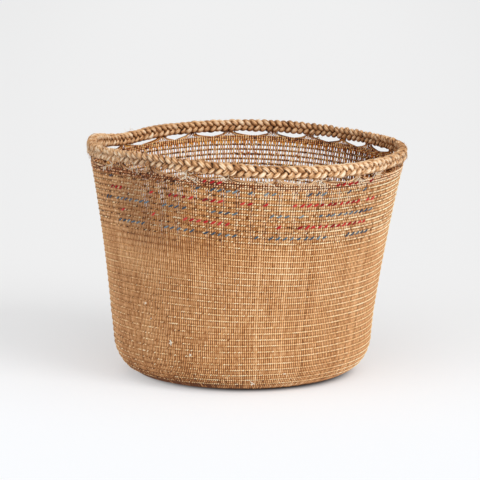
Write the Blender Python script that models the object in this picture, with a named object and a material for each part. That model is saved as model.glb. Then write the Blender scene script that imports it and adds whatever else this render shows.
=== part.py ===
"""Twined grass carrying basket with an open scalloped edge and a three-strand plaited rim.

The basket stands on its flat floor. The origin is on the ground under the middle of the rim, +Z is up,
and angles run round the basket from +X towards +Y. Units are metres. Every piece is worked out from one
outer skin: a meridian (radius against height), a small sideways lean and a gentle wave of the rim.
"""

import math

import bmesh
import bpy
import numpy as np

MM = 0.001

# Whole basket
RIM_RADIUS = 150.0 * MM          # outside of the plait
EDGE_HEIGHT = 198.6 * MM         # top of the closed wall
SCALLOP_HEIGHT = 6.6 * MM        # open gap between the closed wall and the plait
SEAT = 0.3 * MM                  # gap between pieces that lie on each other
LEAN = 4.5 * MM                  # the floor lies this far towards -X of the rim
LEAN_HEIGHT = 60.0 * MM          # the lean is complete below this height

# Outer skin of the wall, over the weft
FLOOR_RADIUS = 88.0 * MM         # where the floor turns up
CORNER_WIDTH = 33.3 * MM         # the rounded corner at the foot is a quarter ellipse
CORNER_HEIGHT = 36.0 * MM
FLARE_BOW = 2.15 * MM            # the wall above lies this far inside a straight line at half its height

# Slow wave of the upper wall and rim, as heights of the first three harmonics
WAVE_COS = (-2.6 * MM, -1.2 * MM, 1.0 * MM)
WAVE_SIN = (0.0 * MM, 2.1 * MM, -1.3 * MM)
WAVE_LOW = 20.0 * MM             # no wave below this height
WAVE_HIGH = 150.0 * MM           # full wave above it

# Twined wall
WALL_THICKNESS = 1.6 * MM
WALL_SIDES = 24                  # flats round the wall and its weft
CORNER_LEVELS = 6                # rings of points round the corner at the foot
FLARE_LEVELS = 5                 # and from there to the open part
OPEN_HEIGHT = 150.0 * MM         # the warps stand apart above this height, and light shows between them
OPEN_ROWS = 2                    # openings above each other in each flat of the open part
OPEN_WIDTH_SHARE = 0.56          # share of a flat's width that an opening takes
OPEN_HEIGHT_SHARE = 0.84         # and of a row's height
FLOOR_THICKNESS = 2.4 * MM
START_LENGTH = 30.0 * MM         # crossed bundles of warps in the middle of the floor
START_WIDTH = 10.0 * MM
START_THICKNESS = 1.6 * MM

# Weft: one pair of strands in a spiral up the wall
WEFT_HEIGHT = 1.7 * MM           # up the wall
WEFT_DEPTH = 0.8 * MM            # proud of the warps
WEFT_FOOT = 6.0 * MM             # height of the first turn
WEFT_STEP_TOP = 5.0 * MM         # from turn to turn near the edge band
WEFT_STEP_FOOT = 5.7 * MM        # and at the foot
YARN_HEIGHT = 2.6 * MM           # wool stitches wrapped over a turn of the weft
YARN_DEPTH = 1.1 * MM
YARN_GAP_TURNS = 1               # plain turns between two rows of wool
BAND_YARN = "red_yarn_high"      # the top row is worked over the closed edge
YARN_ROWS = ("blue_yarn_high", "red_yarn_middle", "blue_yarn_middle", "red_yarn_low", "blue_yarn_low")
SEAM_ANGLE = math.pi / 2         # where each turn begins, at the back

# Closed edge of the wall
BAND_HEIGHT = 3.8 * MM
BAND_THICKNESS = 2.6 * MM
BAND_ROWS = 3                    # close rows of twining
BAND_ROW_DEPTH = 0.5 * MM

# Gathered warps between the edge band and the plait
GATHERS = 24
GATHER_THICKNESS = 2.4 * MM
GATHER_INSET = 0.4 * MM          # behind the outer skin
GATHER_FOOT_SHARE = 0.93         # share of the pitch that the foot of a gather takes
GATHER_NECK_SHARE = 0.25         # and its neck, under the plait
GATHER_LEVELS = 3

# Plait
PLAIT_STRANDS = 3
PLAIT_TURNS = 48                 # full crossings of each strand round the rim
PLAIT_HEIGHT = 12.0 * MM
PLAIT_DEPTH = 9.2 * MM
STRAND_STATIONS = 6              # in each turn of a strand
# Corners of a strand as shares (up, outward) of the plait's half height and half depth: upper outer,
# upper inner, lower inner, lower outer
STRAND_ON_SIDE = ((0.867, 1.0), (0.283, 0.109), (0.217, 0.565), (0.193, 1.0))
STRAND_ON_TOP = ((1.0, 0.739), (1.0, -0.739), (0.367, -0.391), (0.367, 0.391))

# What follows from these: the gathers stand under the middle of the plait
NECK_HEIGHT = EDGE_HEIGHT + SCALLOP_HEIGHT
NECK_RADIUS = RIM_RADIUS - PLAIT_DEPTH / 2 + GATHER_THICKNESS / 2 + GATHER_INSET
PLAIT_MIDDLE = NECK_HEIGHT + PLAIT_HEIGHT / 2

TURN = 2.0 * math.pi
MERIDIAN_SAMPLES = 600
SHARP_EDGE = math.radians(40)


def skin_radius(height):
    """Outer radius at a height: a quarter ellipse at the foot, then a flare that opens towards the rim."""
    below = np.clip((CORNER_HEIGHT - height) / CORNER_HEIGHT, 0.0, 1.0)
    corner = FLOOR_RADIUS + CORNER_WIDTH * np.sqrt(1.0 - below ** 2)
    share = np.clip((height - CORNER_HEIGHT) / (NECK_HEIGHT - CORNER_HEIGHT), 0.0, None)
    flare = (NECK_RADIUS - FLOOR_RADIUS - CORNER_WIDTH) * share
    return corner + flare - 4.0 * FLARE_BOW * share * (1.0 - share)


def smooth_step(value, low, high):
    """Zero below low, one above high, with a smooth ramp between."""
    share = np.clip((value - low) / (high - low), 0.0, 1.0)
    return share * share * (3.0 - 2.0 * share)


def wave(angle, height):
    """How far the wall and rim rise or dip at an angle: three harmonics, fading out towards the foot."""
    rise = sum(c * np.cos((n + 1) * angle) for n, c in enumerate(WAVE_COS))
    rise = rise + sum(s * np.sin((n + 1) * angle) for n, s in enumerate(WAVE_SIN))
    return rise * smooth_step(height, WAVE_LOW, WAVE_HIGH)


def lean(height):
    """Sideways place of the basket's axis at a height, straight from under the plait down to the foot."""
    share = np.clip((NECK_HEIGHT - height) / (NECK_HEIGHT - LEAN_HEIGHT), 0.0, 1.0)
    return -LEAN * share


def place(angle, radius, height):
    """World points for cylindrical coordinates of the straight, level basket."""
    angle, radius, height = np.broadcast_arrays(angle, radius, height)
    x = radius * np.cos(angle) + lean(height)
    y = radius * np.sin(angle)
    z = height + wave(angle, height)
    return np.stack([x, y, z], axis=-1)


def meridian():
    """Heights, radii, outward directions and lengths along the skin from the floor's edge to the rim.

    Outward is square to the ellipse at the foot, and level on the flare above it.
    """
    around = np.linspace(0.0, math.pi / 2, MERIDIAN_SAMPLES)
    foot = CORNER_HEIGHT * (1.0 - np.cos(around))
    side = np.linspace(CORNER_HEIGHT, PLAIT_MIDDLE, MERIDIAN_SAMPLES)[1:]
    height = np.concatenate([foot, side])
    radius = skin_radius(height)
    length = np.concatenate([[0.0], np.cumsum(np.hypot(np.diff(radius), np.diff(height)))])
    square = np.stack([CORNER_HEIGHT * np.sin(around), -CORNER_WIDTH * np.cos(around)])
    square = square / np.linalg.norm(square, axis=0)
    outward_r = np.concatenate([square[0], np.ones_like(side)])
    outward_z = np.concatenate([square[1], np.zeros_like(side)])
    return height, radius, outward_r, outward_z, length


def skin_point(angle, length, outward):
    """World points at a length up the meridian, moved outward from the skin."""
    height, radius, outward_r, outward_z, lengths = meridian()
    at_height = np.interp(length, lengths, height) + outward * np.interp(length, lengths, outward_z)
    at_radius = np.interp(length, lengths, radius) + outward * np.interp(length, lengths, outward_r)
    return place(angle, at_radius, at_height)


def length_at(height_wanted):
    """Length up the meridian at which the skin reaches a height."""
    height, _, _, _, lengths = meridian()
    return np.interp(height_wanted, height, lengths)


def material(name, colour, roughness):
    """Plain surface of one kind of fibre."""
    found = bpy.data.materials.get(name)
    if found:
        return found
    made = bpy.data.materials.new(name)
    made.use_nodes = True
    shader = made.node_tree.nodes["Principled BSDF"]
    shader.inputs["Base Color"].default_value = (*colour, 1.0)
    shader.inputs["Roughness"].default_value = roughness
    shader.inputs["Metallic"].default_value = 0.0
    return made


def grass():
    return material("grass", (0.52, 0.30, 0.13), 0.75)


def grass_weft():
    return material("grass_weft", (0.66, 0.43, 0.21), 0.7)


def grass_plait():
    return material("grass_plait", (0.55, 0.34, 0.16), 0.7)


def red_wool():
    return material("red_wool", (0.52, 0.04, 0.04), 0.9)


def blue_wool():
    return material("blue_wool", (0.08, 0.17, 0.30), 0.9)


def loft(name, rings, look, closed, twisted=False):
    """One closed solid through rings of points: joined end to start, or with a flat cap on each end.

    The faces of a twisted solid are split along their shorter diagonals, which keeps it slim.
    """
    bm = bmesh.new()
    loops = [[bm.verts.new(point) for point in ring] for ring in rings]
    pairs = list(zip(loops[:-1], loops[1:]))
    if closed:
        pairs.append((loops[-1], loops[0]))
    for low, high in pairs:
        for i in range(len(low)):
            j = (i + 1) % len(low)
            bm.faces.new((low[i], low[j], high[j], high[i]))
    if not closed:
        bm.faces.new(loops[0])
        bm.faces.new(loops[-1])
    if twisted:
        bmesh.ops.triangulate(bm, faces=bm.faces[:], quad_method="SHORT_EDGE")
    finish_solid(name, bm, look)


def finish_solid(name, bm, look):
    """Adds the solid to the scene, with its faces outward and a crease at each sharp edge."""
    mesh = bpy.data.meshes.new(name)
    bpy.context.scene.collection.objects.link(bpy.data.objects.new(name, mesh))
    bmesh.ops.recalc_face_normals(bm, faces=bm.faces[:])
    bm.to_mesh(mesh)
    bm.free()
    mesh.shade_smooth()
    mesh.set_sharp_from_angle(angle=SHARP_EDGE)
    mesh.materials.append(look)


def make_floor():
    """Round mat that the basket stands on, flat underneath."""
    angle = np.arange(WALL_SIDES) * TURN / WALL_SIDES
    radius = FLOOR_RADIUS - SEAT
    rings = [place(angle, radius, 0.0), place(angle, radius, FLOOR_THICKNESS)]
    loft("floor_mat", rings, grass(), closed=False)


def make_start():
    """Crossed bundles of warps from which the floor was begun, raised on its inner face."""
    long, half = START_LENGTH / 2, START_WIDTH / 2
    corner = [(long, -half), (long, half), (half, half), (half, long)]
    outline = []
    for quarter in range(4):
        for x, y in corner[1:]:
            c, s = round(math.cos(quarter * math.pi / 2)), round(math.sin(quarter * math.pi / 2))
            outline.append((x * c - y * s - LEAN, x * s + y * c))
    low = FLOOR_THICKNESS + SEAT
    rings = [[(x, y, z) for x, y in outline] for z in (low, low + START_THICKNESS)]
    loft("start_cross", rings, grass_weft(), closed=False)


def make_wall():
    """Warps of the wall as one shell, from the floor's edge up to the edge band, with its open part.

    Each side of each level is a quad on the outer and one on the inner face. In the open part both have a
    window instead, joined by its four reveals.
    """
    outside = -(WEFT_DEPTH + SEAT)
    corner = length_at(CORNER_HEIGHT)
    low = length_at(OPEN_HEIGHT)
    top = length_at(EDGE_HEIGHT - BAND_HEIGHT - SEAT)
    lengths = np.concatenate([np.linspace(0.0, corner, CORNER_LEVELS),
                              np.linspace(corner, low, FLARE_LEVELS)[1:],
                              np.linspace(low, top, OPEN_ROWS + 1)[1:]])
    angle = np.arange(WALL_SIDES)[:, None] * TURN / WALL_SIDES
    bm = bmesh.new()
    outer, inner = [[[bm.verts.new(point) for point in column] for column in skin_point(angle, lengths, outward)]
                    for outward in (outside, outside - WALL_THICKNESS)]
    first_open = len(lengths) - 1 - OPEN_ROWS
    for side in range(WALL_SIDES):
        after = (side + 1) % WALL_SIDES
        for end in (0, -1):
            bm.faces.new((outer[side][end], outer[after][end], inner[after][end], inner[side][end]))
        for level in range(len(lengths) - 1):
            frames = [(face[side][level], face[after][level], face[after][level + 1], face[side][level + 1])
                      for face in (outer, inner)]
            if level < first_open:
                for frame in frames:
                    bm.faces.new(frame)
                continue
            windows = [make_window(bm, frame) for frame in frames]
            for i in range(4):
                j = (i + 1) % 4
                bm.faces.new((windows[0][i], windows[0][j], windows[1][j], windows[1][i]))
    finish_solid("warp_wall", bm, grass())


def make_window(bm, frame):
    """Four faces from the corners of a quad to the corners of an opening in its middle, which it returns."""
    corners = [np.array(vertex.co) for vertex in frame]
    window = []
    for beside, up in ((-1, -1), (1, -1), (1, 1), (-1, 1)):
        across, along = (1.0 + beside * OPEN_WIDTH_SHARE) / 2, (1.0 + up * OPEN_HEIGHT_SHARE) / 2
        low = corners[0] + (corners[1] - corners[0]) * across
        high = corners[3] + (corners[2] - corners[3]) * across
        window.append(bm.verts.new(low + (high - low) * along))
    for i in range(4):
        j = (i + 1) % 4
        bm.faces.new((frame[i], frame[j], window[j], window[i]))
    return window


def make_band():
    """Three close rows of twining that close the wall, as a ring with a rounded ridge for each row."""
    sides = 2 * GATHERS
    ridge = np.linspace(0.0, 1.0, 2 * BAND_ROWS + 1)
    bulge = BAND_ROW_DEPTH * (np.arange(2 * BAND_ROWS + 1) % 2)
    low = length_at(EDGE_HEIGHT - BAND_HEIGHT)
    lengths = low + ridge * (length_at(EDGE_HEIGHT) - low)
    rings = []
    for angle in np.arange(sides) * TURN / sides:
        outer = skin_point(angle, lengths, bulge - BAND_ROW_DEPTH)
        inner = skin_point(angle, lengths[[-1, 0]], -BAND_ROW_DEPTH - BAND_THICKNESS)
        rings.append(np.concatenate([outer, inner]))
    loft("edge_band", rings, grass_weft(), closed=True)


def make_gather(number):
    """Warps of one scallop drawn together: a fan on the edge band, with hollow sides, up to the plait."""
    pitch = TURN / GATHERS
    middle = (number + 0.5) * pitch
    foot = EDGE_HEIGHT + SEAT
    neck = NECK_HEIGHT - SEAT
    rings = []
    for level in np.linspace(0.0, 1.0, GATHER_LEVELS):
        share = GATHER_NECK_SHARE + (GATHER_FOOT_SHARE - GATHER_NECK_SHARE) * (1.0 - level) ** 2
        angle = middle + np.array([-0.5, 0.0, 0.5]) * share * pitch
        height = foot + level * (neck - foot)
        outer = skin_radius(height) - GATHER_INSET
        inner = outer - GATHER_THICKNESS
        ring = [place(a, outer, height) for a in angle]
        ring += [place(a, inner, height) for a in angle[::-1]]
        rings.append(ring)
    loft(f"gather_{number + 1:02d}", rings, grass(), closed=False)


def strand_section(phase):
    """Corners of a strand at one of its six stations, in the order of the two tables of shares.

    It lies at the upper outside, on top, at the upper inside, then passes through the middle to the
    lower outside, underneath and the lower inside. The last four are mirror images of the first two.
    """
    corners = STRAND_ON_TOP if phase % 3 == 1 else STRAND_ON_SIDE
    if phase % 3 == 2:
        corners = [(corners[i][0], -corners[i][1]) for i in (1, 0, 3, 2)]
    if phase >= 3:
        corners = [(-corners[i][0], corners[i][1]) for i in (3, 2, 1, 0)]
    return corners


def make_strand(number):
    """One strand of the plait, straight between its stations, a third of a turn from the next strand."""
    stations = STRAND_STATIONS * PLAIT_TURNS
    centre = RIM_RADIUS - PLAIT_DEPTH / 2
    rings = []
    for station in range(stations):
        angle = station * TURN / stations
        shift = number * STRAND_STATIONS // PLAIT_STRANDS
        section = strand_section((shift - station) % STRAND_STATIONS)
        rings.append([place(angle, centre + outward * PLAIT_DEPTH / 2, PLAIT_MIDDLE + up * PLAIT_HEIGHT / 2)
                      for up, outward in section])
    loft("plait_strand_" + "abc"[number], rings, grass_plait(), closed=True, twisted=True)


def make_turns(name, first, last, high, proud, look):
    """A stretch of the weft spiral, between two whole turns, as a rib with a ridge along its middle."""
    seat = -WEFT_DEPTH
    turns = np.arange(first * WALL_SIDES, last * WALL_SIDES + 1) / WALL_SIDES
    turns[0] += SEAT / (TURN * RIM_RADIUS)
    rings = []
    for turn in turns:
        angle = SEAM_ANGLE + turn * TURN
        length = turn_length(turn)
        rings.append([skin_point(angle, length - high / 2, seat),
                      skin_point(angle, length, seat + proud),
                      skin_point(angle, length + high / 2, seat)])
    loft(name, rings, look, closed=False)


def turn_count():
    """Whole turns of weft between the first one at the foot and the edge band."""
    run = length_at(EDGE_HEIGHT - BAND_HEIGHT) - length_at(WEFT_FOOT)
    return int(round(run / ((WEFT_STEP_TOP + WEFT_STEP_FOOT) / 2)))


def turn_length(turn):
    """Length up the meridian at a turn of the spiral: the step shrinks evenly from foot to top."""
    total = turn_count()
    top = length_at(EDGE_HEIGHT - BAND_HEIGHT) - WEFT_STEP_TOP / 2
    foot = length_at(WEFT_FOOT)
    share = turn / total
    tighter = (WEFT_STEP_TOP - WEFT_STEP_FOOT) / (WEFT_STEP_TOP + WEFT_STEP_FOOT)
    return foot + (top - foot) * (share + tighter * share * (share - 1.0))


def make_weft():
    """Weft spiral up the wall, with a row of wool stitches over every second turn of its upper end."""
    end = turn_count()
    for number, name in enumerate(YARN_ROWS):
        if number > 0:
            start = end - YARN_GAP_TURNS
            make_turns(f"weft_turn_{number}", start, end, WEFT_HEIGHT, WEFT_DEPTH, grass_weft())
            end = start
        look = red_wool() if name.startswith("red") else blue_wool()
        make_turns(name, end - 1, end, YARN_HEIGHT, YARN_DEPTH, look)
        end -= 1
    make_turns("weft_spiral", 0, end, WEFT_HEIGHT, WEFT_DEPTH, grass_weft())


def make_band_yarn():
    """Top row of wool stitches, worked round the edge band."""
    middle = length_at(EDGE_HEIGHT) - SEAT - YARN_HEIGHT / 2
    sides = 2 * GATHERS
    rings = []
    for angle in np.arange(sides) * TURN / sides:
        rings.append([skin_point(angle, middle - YARN_HEIGHT / 2, SEAT),
                      skin_point(angle, middle, SEAT + YARN_DEPTH),
                      skin_point(angle, middle + YARN_HEIGHT / 2, SEAT)])
    loft(BAND_YARN, rings, red_wool(), closed=True)


def main():
    for old in list(bpy.data.objects):
        bpy.data.objects.remove(old, do_unlink=True)
    make_floor()
    make_start()
    make_wall()
    make_band()
    for number in range(GATHERS):
        make_gather(number)
    for number in range(PLAIT_STRANDS):
        make_strand(number)
    make_weft()
    make_band_yarn()


main()
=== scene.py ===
"""Looks of a twined grass carrying basket, in the order in which such a basket is made.

Crossed stems start the floor, split grass warps run out from them and turn up into the wall, and a twined
weft holds them. Three close rows end the wall. Above them the warps draw together into gathers under a
plaited rim, and rows of wool stitches lie over the weft.
"""

import math

import bpy
import numpy as np
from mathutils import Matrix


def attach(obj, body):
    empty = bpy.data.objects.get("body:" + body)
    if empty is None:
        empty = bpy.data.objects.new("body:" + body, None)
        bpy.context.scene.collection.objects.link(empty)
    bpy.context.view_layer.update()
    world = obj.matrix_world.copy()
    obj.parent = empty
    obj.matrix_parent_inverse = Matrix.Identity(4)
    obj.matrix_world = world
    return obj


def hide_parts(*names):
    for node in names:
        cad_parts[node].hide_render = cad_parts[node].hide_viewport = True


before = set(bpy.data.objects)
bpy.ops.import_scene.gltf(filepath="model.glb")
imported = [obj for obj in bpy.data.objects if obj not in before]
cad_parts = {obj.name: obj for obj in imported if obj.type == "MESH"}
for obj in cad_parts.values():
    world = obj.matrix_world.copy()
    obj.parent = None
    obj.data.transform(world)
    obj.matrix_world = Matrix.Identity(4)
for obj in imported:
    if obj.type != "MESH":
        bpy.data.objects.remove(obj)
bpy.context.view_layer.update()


# Start of the base
# Two bundles of dried beach grass stems, laid across each other in the middle of the floor, inside. The
# whole basket is of this grass: split, one to two millimetres wide, every stem of its own tan.
MM = 0.001
TURN = 2.0 * math.pi
LEAN = 4.5 * MM
START_STEMS = 7
START_HALF = 15.0 * MM
START_LOW = 3.0 * MM
START_HIGH = 3.7 * MM
START_PITCH = 1.4 * MM
START_BEND = 0.5 * MM
START_RIPPLE = 0.12 * MM
START_HALF_WIDTH = 0.72 * MM
START_HALF_DEPTH = 0.38 * MM
STEM_STEPS = 10
FIBRE_LENGTH = 7.0 * MM
STRIP_GIRTH = 3.5 * MM
PATCH_SIZE = 38.0 * MM
PATCH_SHARE = 0.35
GROOVE_DEPTH = 0.08 * MM
STREAK = 0.5 * MM
START_STREAK = 0.4 * MM
START_TONE = (0.5, 0.15)
GRASS_TONES = ((0.0, "#6A380E"), (0.35, "#C88A54"), (0.65, "#EBB57F"), (1.0, "#FCE0B6"))
FLAT_STEM = [(-1.0, 0.0), (-0.55, 1.0), (0.55, 1.0), (1.0, 0.0), (0.55, -1.0), (-0.55, -1.0)]
INNER_FACE = slice(4, 6)
# Painted shade on a flat stem's two edges, where stems meet; outer face a little paler, inner face paler
STEM_SHADE = np.array([-0.58, 0.12, 0.12, -0.58, 0.25, 0.25])
STAIN_CENTRE = (-86.0 * MM, -106.0 * MM, 178.0 * MM)
STAIN_FULL = 12.0 * MM
STAIN_END = 60.0 * MM
STAIN_STRENGTH = 0.65
STAIN_TINT = "#A48A7A"
INSIDE_DEPTH = 30.0 * MM
INSIDE_TINT = "#FFE29C"


def drift(angle, length, seed, rounds, rise):
    """Smooth random field between about -1 and 1: four seeded sine waves round and up, added, over 2.5.

    rounds is the most waves in a turn, and rise the shortest length of a wave up the wall, times its number.
    """
    rng = np.random.default_rng(seed)
    total = 0.0
    for step in range(1, 5):
        turns = rng.integers(1, rounds + 1)
        phase = rng.uniform(0.0, TURN)
        slope = rng.uniform(-1.0, 1.0) * TURN / rise
        total = total + np.sin(turns * angle + slope * length * step + phase)
    return total / 2.5


def linear(hex_colour):
    """Linear red, green, blue and one for alpha, from an sRGB hex value."""
    values = [int(hex_colour[i:i + 2], 16) / 255 for i in (1, 3, 5)]
    return [v / 12.92 if v <= 0.04045 else ((v + 0.055) / 1.055) ** 2.4 for v in values] + [1.0]


def new_look(name, sockets):
    """A material, its node tree and its shader, with constants on the shader's own sockets."""
    look = bpy.data.materials.new(name)
    look.use_nodes = True
    shader = look.node_tree.nodes["Principled BSDF"]
    for socket, value in sockets.items():
        shader.inputs[socket].default_value = value
    return look, look.node_tree, shader


def add_node(tree, kind, settings=(), links=()):
    """Adds a node, with settings for its properties, its ramp or its open sockets, and links into it."""
    node = tree.nodes.new(kind)
    for key, value in dict(settings).items():
        if key == "ramp":
            stops = node.color_ramp.elements
            while len(stops) < len(value):
                stops.new(0.5)
            for stop, (position, colour) in zip(stops, value):
                stop.position = position
                stop.color = linear(colour)
        elif isinstance(key, str) and hasattr(node, key):
            setattr(node, key, value)
        else:
            node.inputs[key].default_value = value
    for key, output in dict(links).items():
        tree.links.new(output, node.inputs[key])
    return node


def dried_grass(name, tones, strips, run, gloss, streak=STREAK, contrast=0.45, inside_tint=INSIDE_TINT):
    """Dried beach grass, split by hand: matt, with fine fibres along each stem.

    Each stem has its own tone and faint streaks along it. Handling has left the upper left of the front
    browner and duller, and the inside, which light reaches less, is warmer in colour. A real fibre is about
    0.1 mm wide, too fine to show, so the streaks are drawn several times as wide. strips and run are the
    number and length of the strips in the UV map, streak is the width of a streak, and contrast is how far
    the streaks change the tone.
    """
    look, tree, shader = new_look(name, {"Metallic": 0.0, "Specular IOR Level": gloss})
    place_uv = add_node(tree, "ShaderNodeUVMap", {"uv_map": "OFBake"})
    spread = add_node(tree, "ShaderNodeMapping",
                      {"Scale": (run / FIBRE_LENGTH, strips * STRIP_GIRTH / streak, 1.0)},
                      {"Vector": place_uv.outputs["UV"]})
    fibres = add_node(tree, "ShaderNodeTexNoise", {"Scale": 1.0, "Detail": 2.0, "Roughness": 0.6},
                      {"Vector": spread.outputs["Vector"]})
    place_object = add_node(tree, "ShaderNodeTexCoord")
    patches = add_node(tree, "ShaderNodeTexNoise",
                       {"Scale": 1.0 / PATCH_SIZE, "Detail": 3.0, "Roughness": 0.55},
                       {"Vector": place_object.outputs["Object"]})
    own = add_node(tree, "ShaderNodeAttribute", {"attribute_name": "tone"})
    streaked = add_node(tree, "ShaderNodeMath", {"operation": "MULTIPLY_ADD", 1: contrast},
                        {0: fibres.outputs["Fac"], 2: own.outputs["Fac"]})
    patched = add_node(tree, "ShaderNodeMath", {"operation": "MULTIPLY_ADD", 1: PATCH_SHARE},
                       {0: patches.outputs["Fac"], 2: streaked.outputs["Value"]})
    centred = add_node(tree, "ShaderNodeMath", {"operation": "SUBTRACT", 1: (contrast + PATCH_SHARE) / 2},
                       {0: patched.outputs["Value"]})
    colour = add_node(tree, "ShaderNodeValToRGB", {"ramp": tones}, {"Fac": centred.outputs["Value"]})
    away = add_node(tree, "ShaderNodeVectorMath", {"operation": "DISTANCE", 1: STAIN_CENTRE},
                    {0: place_object.outputs["Object"]})
    stained = add_node(tree, "ShaderNodeMapRange",
                       {"interpolation_type": "SMOOTHSTEP", "From Min": STAIN_FULL, "From Max": STAIN_END,
                        "To Min": STAIN_STRENGTH, "To Max": 0.0}, {"Value": away.outputs["Value"]})
    dulled = add_node(tree, "ShaderNodeMix",
                      {"data_type": "RGBA", "blend_type": "MULTIPLY", 7: linear(STAIN_TINT)},
                      {"Factor": stained.outputs["Result"], 6: colour.outputs["Color"]})
    faced = add_node(tree, "ShaderNodeNewGeometry")
    outward = add_node(tree, "ShaderNodeVectorMath", {"operation": "DOT_PRODUCT"},
                       {0: faced.outputs["Normal"], 1: place_object.outputs["Object"]})
    inside = add_node(tree, "ShaderNodeMapRange", {"From Min": INSIDE_DEPTH, "From Max": -INSIDE_DEPTH},
                      {"Value": outward.outputs["Value"]})
    warmed = add_node(tree, "ShaderNodeMix",
                      {"data_type": "RGBA", "blend_type": "MULTIPLY", 7: linear(inside_tint)},
                      {"Factor": inside.outputs["Result"], 6: dulled.outputs[2]})
    tree.links.new(warmed.outputs[2], shader.inputs["Base Color"])
    matt = add_node(tree, "ShaderNodeMapRange", {"To Min": 0.5, "To Max": 0.8},
                    {"Value": fibres.outputs["Fac"]})
    tree.links.new(matt.outputs["Result"], shader.inputs["Roughness"])
    grooves = add_node(tree, "ShaderNodeBump", {"Strength": 0.5, "Distance": GROOVE_DEPTH},
                       {"Height": fibres.outputs["Fac"]})
    tree.links.new(grooves.outputs["Normal"], shader.inputs["Normal"])
    return look


def add_object(name, data):
    """A new object of the scene that holds a mesh, a light or a camera."""
    item = bpy.data.objects.new(name, data)
    bpy.context.scene.collection.objects.link(item)
    return item


def strand_mesh(name, middle, across, out, section, tone, look, ring=False, cuts=1):
    """Strands as tubes: point = middle + section[0] * across + section[1] * out, along each middle line.

    middle, across and out are arrays of (strands, steps, 3); tone is (strands, steps) or the same with
    a last axis round the section. The UV map has strips that run along a strand in U, cuts to a strand.
    """
    strands, steps, sides = middle.shape[0], middle.shape[1], len(section)
    section = np.asarray(section)
    points = middle[:, :, None] + section[:, :1] * across[:, :, None] + section[:, 1:] * out[:, :, None]
    number = np.arange(strands * steps * sides).reshape(strands, steps, sides)
    rows = number if not ring else np.concatenate([number, number[:, :1]], axis=1)
    low, high = rows[:, :-1], rows[:, 1:]
    quads = np.stack([low, np.roll(low, -1, 2), np.roll(high, -1, 2), high], axis=-1).reshape(-1, 4)
    spans = rows.shape[1] - 1
    run = -(-spans // cuts)
    strand, step, side = np.meshgrid(np.arange(strands), np.arange(spans), np.arange(sides), indexing="ij")
    strip = strand * cuts + step // run
    u = (np.stack([step, step, step + 1, step + 1], axis=-1) - (step // run * run)[..., None]) / run
    v = (strip[..., None] + np.stack([side, side + 1, side + 1, side], axis=-1) / sides) / (strands * cuts)
    u, v = u.reshape(-1, 4), v.reshape(-1, 4)
    if not ring:
        fans = np.array([(0, i, i + 1, i + 2) for i in range(1, sides - 2, 2)])
        near, far = number[:, 0][:, fans].reshape(-1, 4), number[:, -1][:, fans[:, ::-1]].reshape(-1, 4)
        quads = np.concatenate([quads, near, far])
        end_strip = np.repeat(np.arange(strands) * cuts, len(fans))[:, None] + np.full((1, 4), 0.5)
        u = np.concatenate([u, np.zeros(near.shape), np.full(far.shape, (spans - 1) % run + 1.0) / run])
        v = np.concatenate([v, end_strip / (strands * cuts), (end_strip + cuts - 1) / (strands * cuts)])
    quads, u, v = quads[:, ::-1], u[:, ::-1], v[:, ::-1]
    mesh = bpy.data.meshes.new(name)
    mesh.vertices.add(points.size // 3)
    mesh.vertices.foreach_set("co", points.astype(np.float32).ravel())
    mesh.loops.add(quads.size)
    mesh.loops.foreach_set("vertex_index", quads.astype(np.int32).ravel())
    mesh.polygons.add(len(quads))
    mesh.polygons.foreach_set("loop_start", np.arange(len(quads), dtype=np.int32) * 4)
    mesh.update(calc_edges=True)
    mesh.polygons.foreach_set("use_smooth", np.ones(len(quads), dtype=bool))
    uv_map = mesh.uv_layers.new(name="OFBake")
    uv_map.data.foreach_set("uv", np.stack([u, v], axis=-1).astype(np.float32).ravel())
    tones = tone if tone.ndim == 3 else tone[:, :, None]
    mark = mesh.attributes.new("tone", "FLOAT", "POINT")
    mark.data.foreach_set("value", np.broadcast_to(tones, number.shape).astype(np.float32).ravel())
    mesh.materials.append(look)
    piece = add_object(name, mesh)
    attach(piece, "root")
    return piece


def unit(vectors):
    """The vectors scaled to length one."""
    return vectors / np.linalg.norm(vectors, axis=-1, keepdims=True)


def level_frame(points):
    """Directions across each strand, level, and square to it, upwards, for strands that run about level."""
    along = unit(np.gradient(points, axis=1))
    across = unit(np.cross(along, (0.0, 0.0, 1.0)))
    return across, np.cross(across, along)


rng = np.random.default_rng(7)
along = np.linspace(-1.0, 1.0, STEM_STEPS)[None, :]
beside = (np.arange(START_STEMS)[:, None] - (START_STEMS - 1) / 2) * START_PITCH
reach = START_HALF * rng.uniform(0.88, 1.0, (START_STEMS, 1)) * along
# Each stem bends sideways in a slow wave and ripples up and down in a quicker one, both its own
bend = beside + START_BEND * np.sin(along * 2.2 + beside * 900)
ripple = START_RIPPLE * np.cos(along * 9 + beside * 500)
first = np.stack([reach - LEAN, bend, START_LOW + ripple], axis=-1)
second = np.stack([bend[::-1] - LEAN, reach, START_HIGH + ripple], axis=-1)
stems = np.concatenate([first, second])
across, out = level_frame(stems)
tone = np.repeat(rng.normal(*START_TONE, (2 * START_STEMS, 1)), STEM_STEPS, axis=1)[..., None] + STEM_SHADE
start_grass = dried_grass("dried_grass_start", GRASS_TONES, strips=2 * START_STEMS, run=30 * MM, gloss=0.35,
                          streak=START_STREAK)
piece = strand_mesh("start_cross_stems", stems, across * START_HALF_WIDTH, out * START_HALF_DEPTH,
                    FLAT_STEM, tone, start_grass)
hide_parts("start_cross")


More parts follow.
